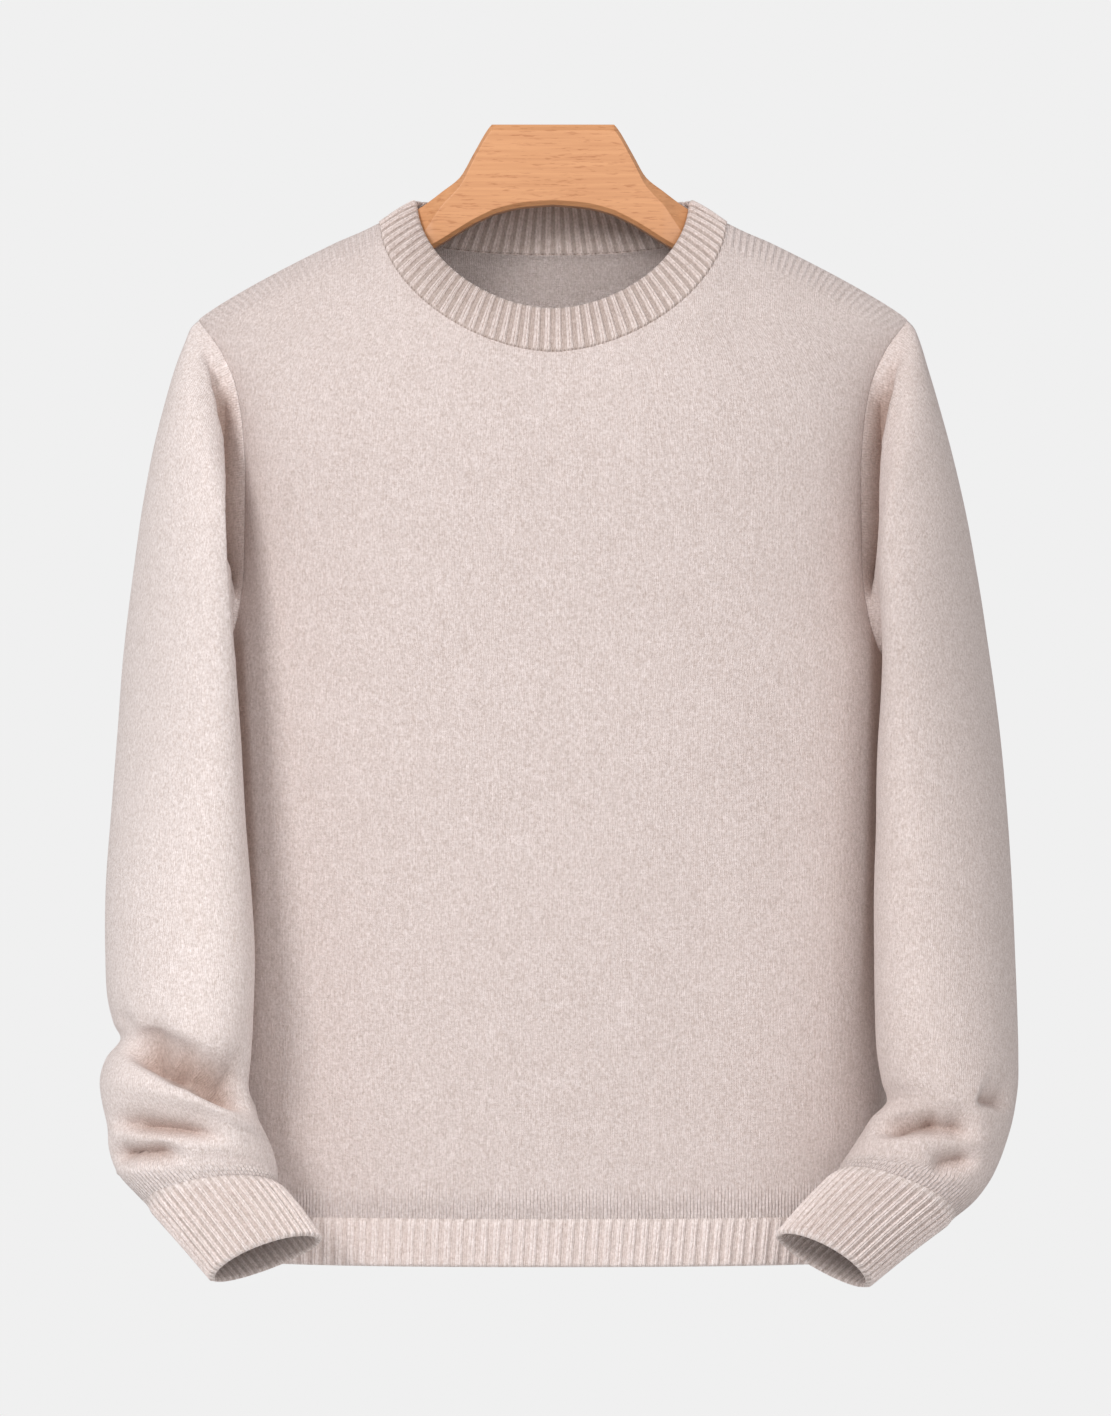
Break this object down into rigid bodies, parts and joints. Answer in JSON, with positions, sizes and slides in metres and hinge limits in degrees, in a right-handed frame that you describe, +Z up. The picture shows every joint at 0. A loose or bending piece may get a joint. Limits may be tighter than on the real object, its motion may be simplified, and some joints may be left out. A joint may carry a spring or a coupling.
{
  "type": "crewneck sweater on a wooden hanger",
  "caption": "Long-sleeved fine-knit crewneck sweater with ribbed neck, cuffs and hem, filled out and hung on a contoured wooden hanger.",
  "frame": {"origin": "middle of the flat top face of the hanger's block, where it is held", "axes": "+X to the viewer's right across the shoulders, -Y out of the sweater's front, +Z up"},
  "size_m": [0.5797, 0.2247, 0.7361],
  "materials": {
    "front": "fine heathered stockinette knit, soft brushed surface",
    "back": "fine heathered stockinette knit, soft brushed surface",
    "sleeve_left": "fine heathered stockinette knit, soft brushed surface",
    "sleeve_right": "fine heathered stockinette knit, soft brushed surface",
    "neckband": "ribbed knit, raised ribs",
    "hem_rib_front": "ribbed knit, raised ribs",
    "hem_rib_back": "ribbed knit, raised ribs",
    "cuff_left": "ribbed knit, raised ribs",
    "cuff_right": "ribbed knit, raised ribs",
    "hanger": "light beech, satin lacquer, fine grain along the arms"
  },
  "bodies": {
    "root": {"front": "front", "back": "back", "sleeve_left": "sleeve_left", "sleeve_right": "sleeve_right", "neckband": "neckband", "hem_rib_front": "hem_rib_front", "hem_rib_back": "hem_rib_back", "cuff_left": "cuff_left", "cuff_right": "cuff_right", "hanger": "hanger"}
  },
  "joints": []
}
